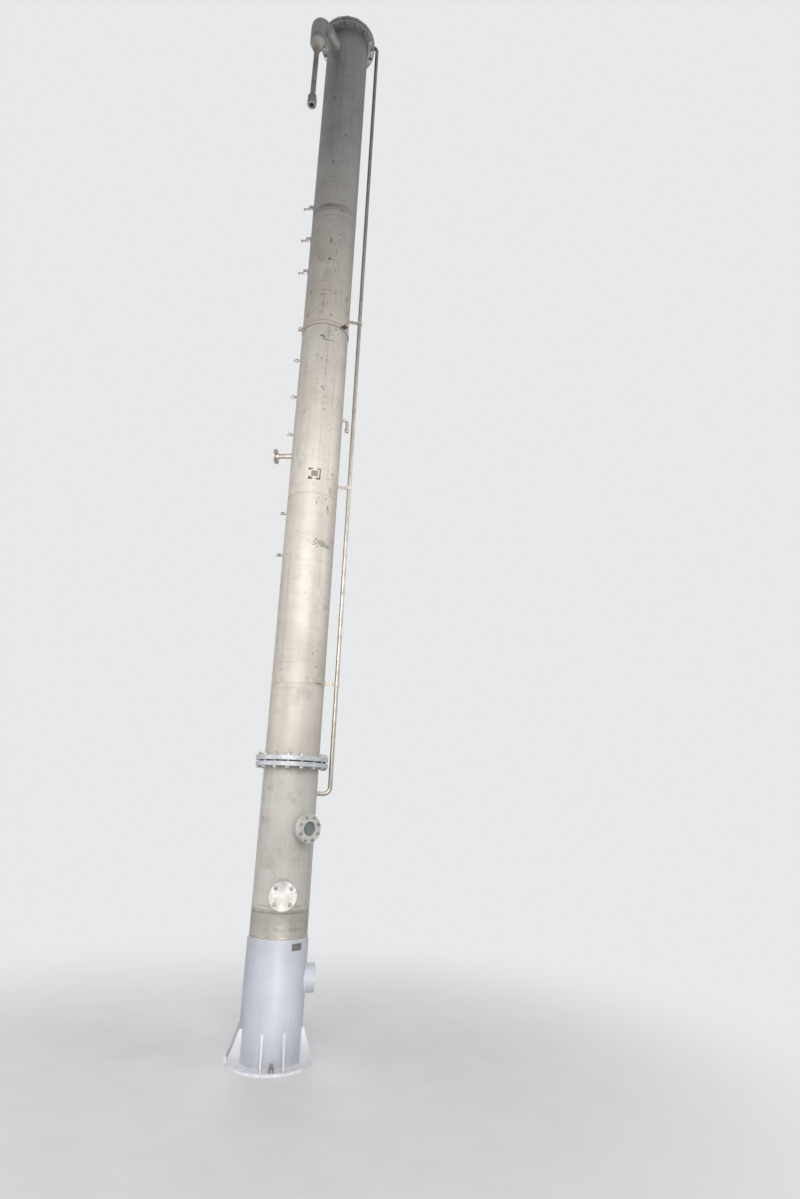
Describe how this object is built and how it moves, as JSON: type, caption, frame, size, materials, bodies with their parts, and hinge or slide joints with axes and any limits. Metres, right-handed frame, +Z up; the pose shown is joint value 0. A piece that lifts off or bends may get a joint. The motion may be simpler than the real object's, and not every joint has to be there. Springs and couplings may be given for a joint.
{
  "type": "distillation column",
  "caption": "Slim upright distillation column of welded stainless courses on a painted skirt, with flanged joints, a sight glass, side nozzles and a vapour outlet bend.",
  "frame": {"origin": "on the floor under the column's axis: centre of the base ring's underside", "axes": "+Z up along the column; -Y is the front, towards the hand hole; +X is the right, towards the side tube"},
  "size_m": [0.7131, 0.7966, 9.2997],
  "materials": {
    "skirt_paint": "light blue-grey paint, satin, dusty near the floor",
    "shell_steel": "pickled stainless, matt, speckled with old stains",
    "pipe_steel": "pickled stainless pipe and forgings, satin",
    "flange_steel": "zinc-grey plate, turned edge",
    "gasket": "dark fibre sheet",
    "sight_glass": "thick clear glass, slightly green",
    "fitting_steel": "machined stainless",
    "rusty_steel": "bare steel, rusted brown"
  },
  "bodies": {
    "root": {"base_ring": "skirt_paint", "base_gussets": "skirt_paint", "skirt": "skirt_paint", "skirt_sleeve": "skirt_paint", "outlet_sleeve": "skirt_paint", "bottom_head": "shell_steel", "make_up_course": "shell_steel", "sump_shell": "shell_steel", "shell_course_1": "shell_steel", "shell_course_2": "shell_steel", "shell_course_3": "shell_steel", "shell_course_4": "shell_steel", "shell_course_5": "shell_steel", "top_head": "shell_steel", "outlet_pipe": "pipe_steel", "outlet_flange": "pipe_steel", "reboiler_nozzles": "pipe_steel", "feed_nozzle": "pipe_steel", "return_nozzle": "pipe_steel", "sample_nozzles": "pipe_steel", "vapour_elbow": "pipe_steel", "vapour_reducer": "pipe_steel", "overhead_pipe": "pipe_steel", "side_tube": "pipe_steel", "side_tube_bends": "pipe_steel", "sight_glass_pad": "pipe_steel", "sight_glass_cover": "pipe_steel", "hand_hole_neck": "pipe_steel", "hand_hole_cover": "pipe_steel", "lower_body_flange": "flange_steel", "upper_body_flange": "flange_steel", "lower_head_flange": "flange_steel", "upper_head_flange": "flange_steel", "hand_hole_gasket": "gasket", "body_gasket": "gasket", "head_gasket": "gasket", "sight_glass_disc": "sight_glass", "thermowells": "fitting_steel", "sample_valves": "fitting_steel", "brace_band": "fitting_steel", "side_tube_brackets": "fitting_steel", "brace_lugs": "rusty_steel"}
  },
  "joints": []
}
